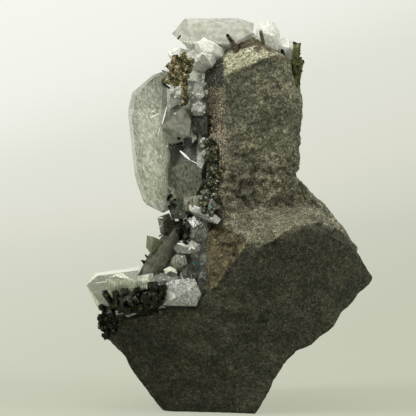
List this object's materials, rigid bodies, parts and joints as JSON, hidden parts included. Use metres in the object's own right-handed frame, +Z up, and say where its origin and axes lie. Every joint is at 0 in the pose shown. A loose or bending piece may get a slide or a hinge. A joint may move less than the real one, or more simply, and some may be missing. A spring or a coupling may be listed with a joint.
{
  "type": "harlequin quartz specimen",
  "caption": "Clear quartz crystals and dark green epidote grown on the wall, shelf and top of an upright broken block of grey rock that stands on a flat break.",
  "frame": {"origin": "on the surface that the specimen stands on, under the middle of the rock", "axes": "+Z up, +X right along the rock's broad face with the crystals on its left, +Y away from that face"},
  "size_m": [0.062, 0.0382, 0.0845],
  "materials": {
    "rock": "matte",
    "quartz": "gloss",
    "epidote": "gloss"
  },
  "bodies": {
    "root": {"matrix_rock": "rock", "quartz_top_cluster": "quartz", "quartz_middle_cluster": "quartz", "quartz_lower_cluster": "quartz", "epidote_shelf_cluster": "epidote", "epidote_contact_band": "epidote", "epidote_upper_spray": "epidote", "epidote_top_right_crystals": "epidote", "epidote_left_blade": "epidote", "epidote_middle_blade": "epidote"}
  },
  "joints": []
}
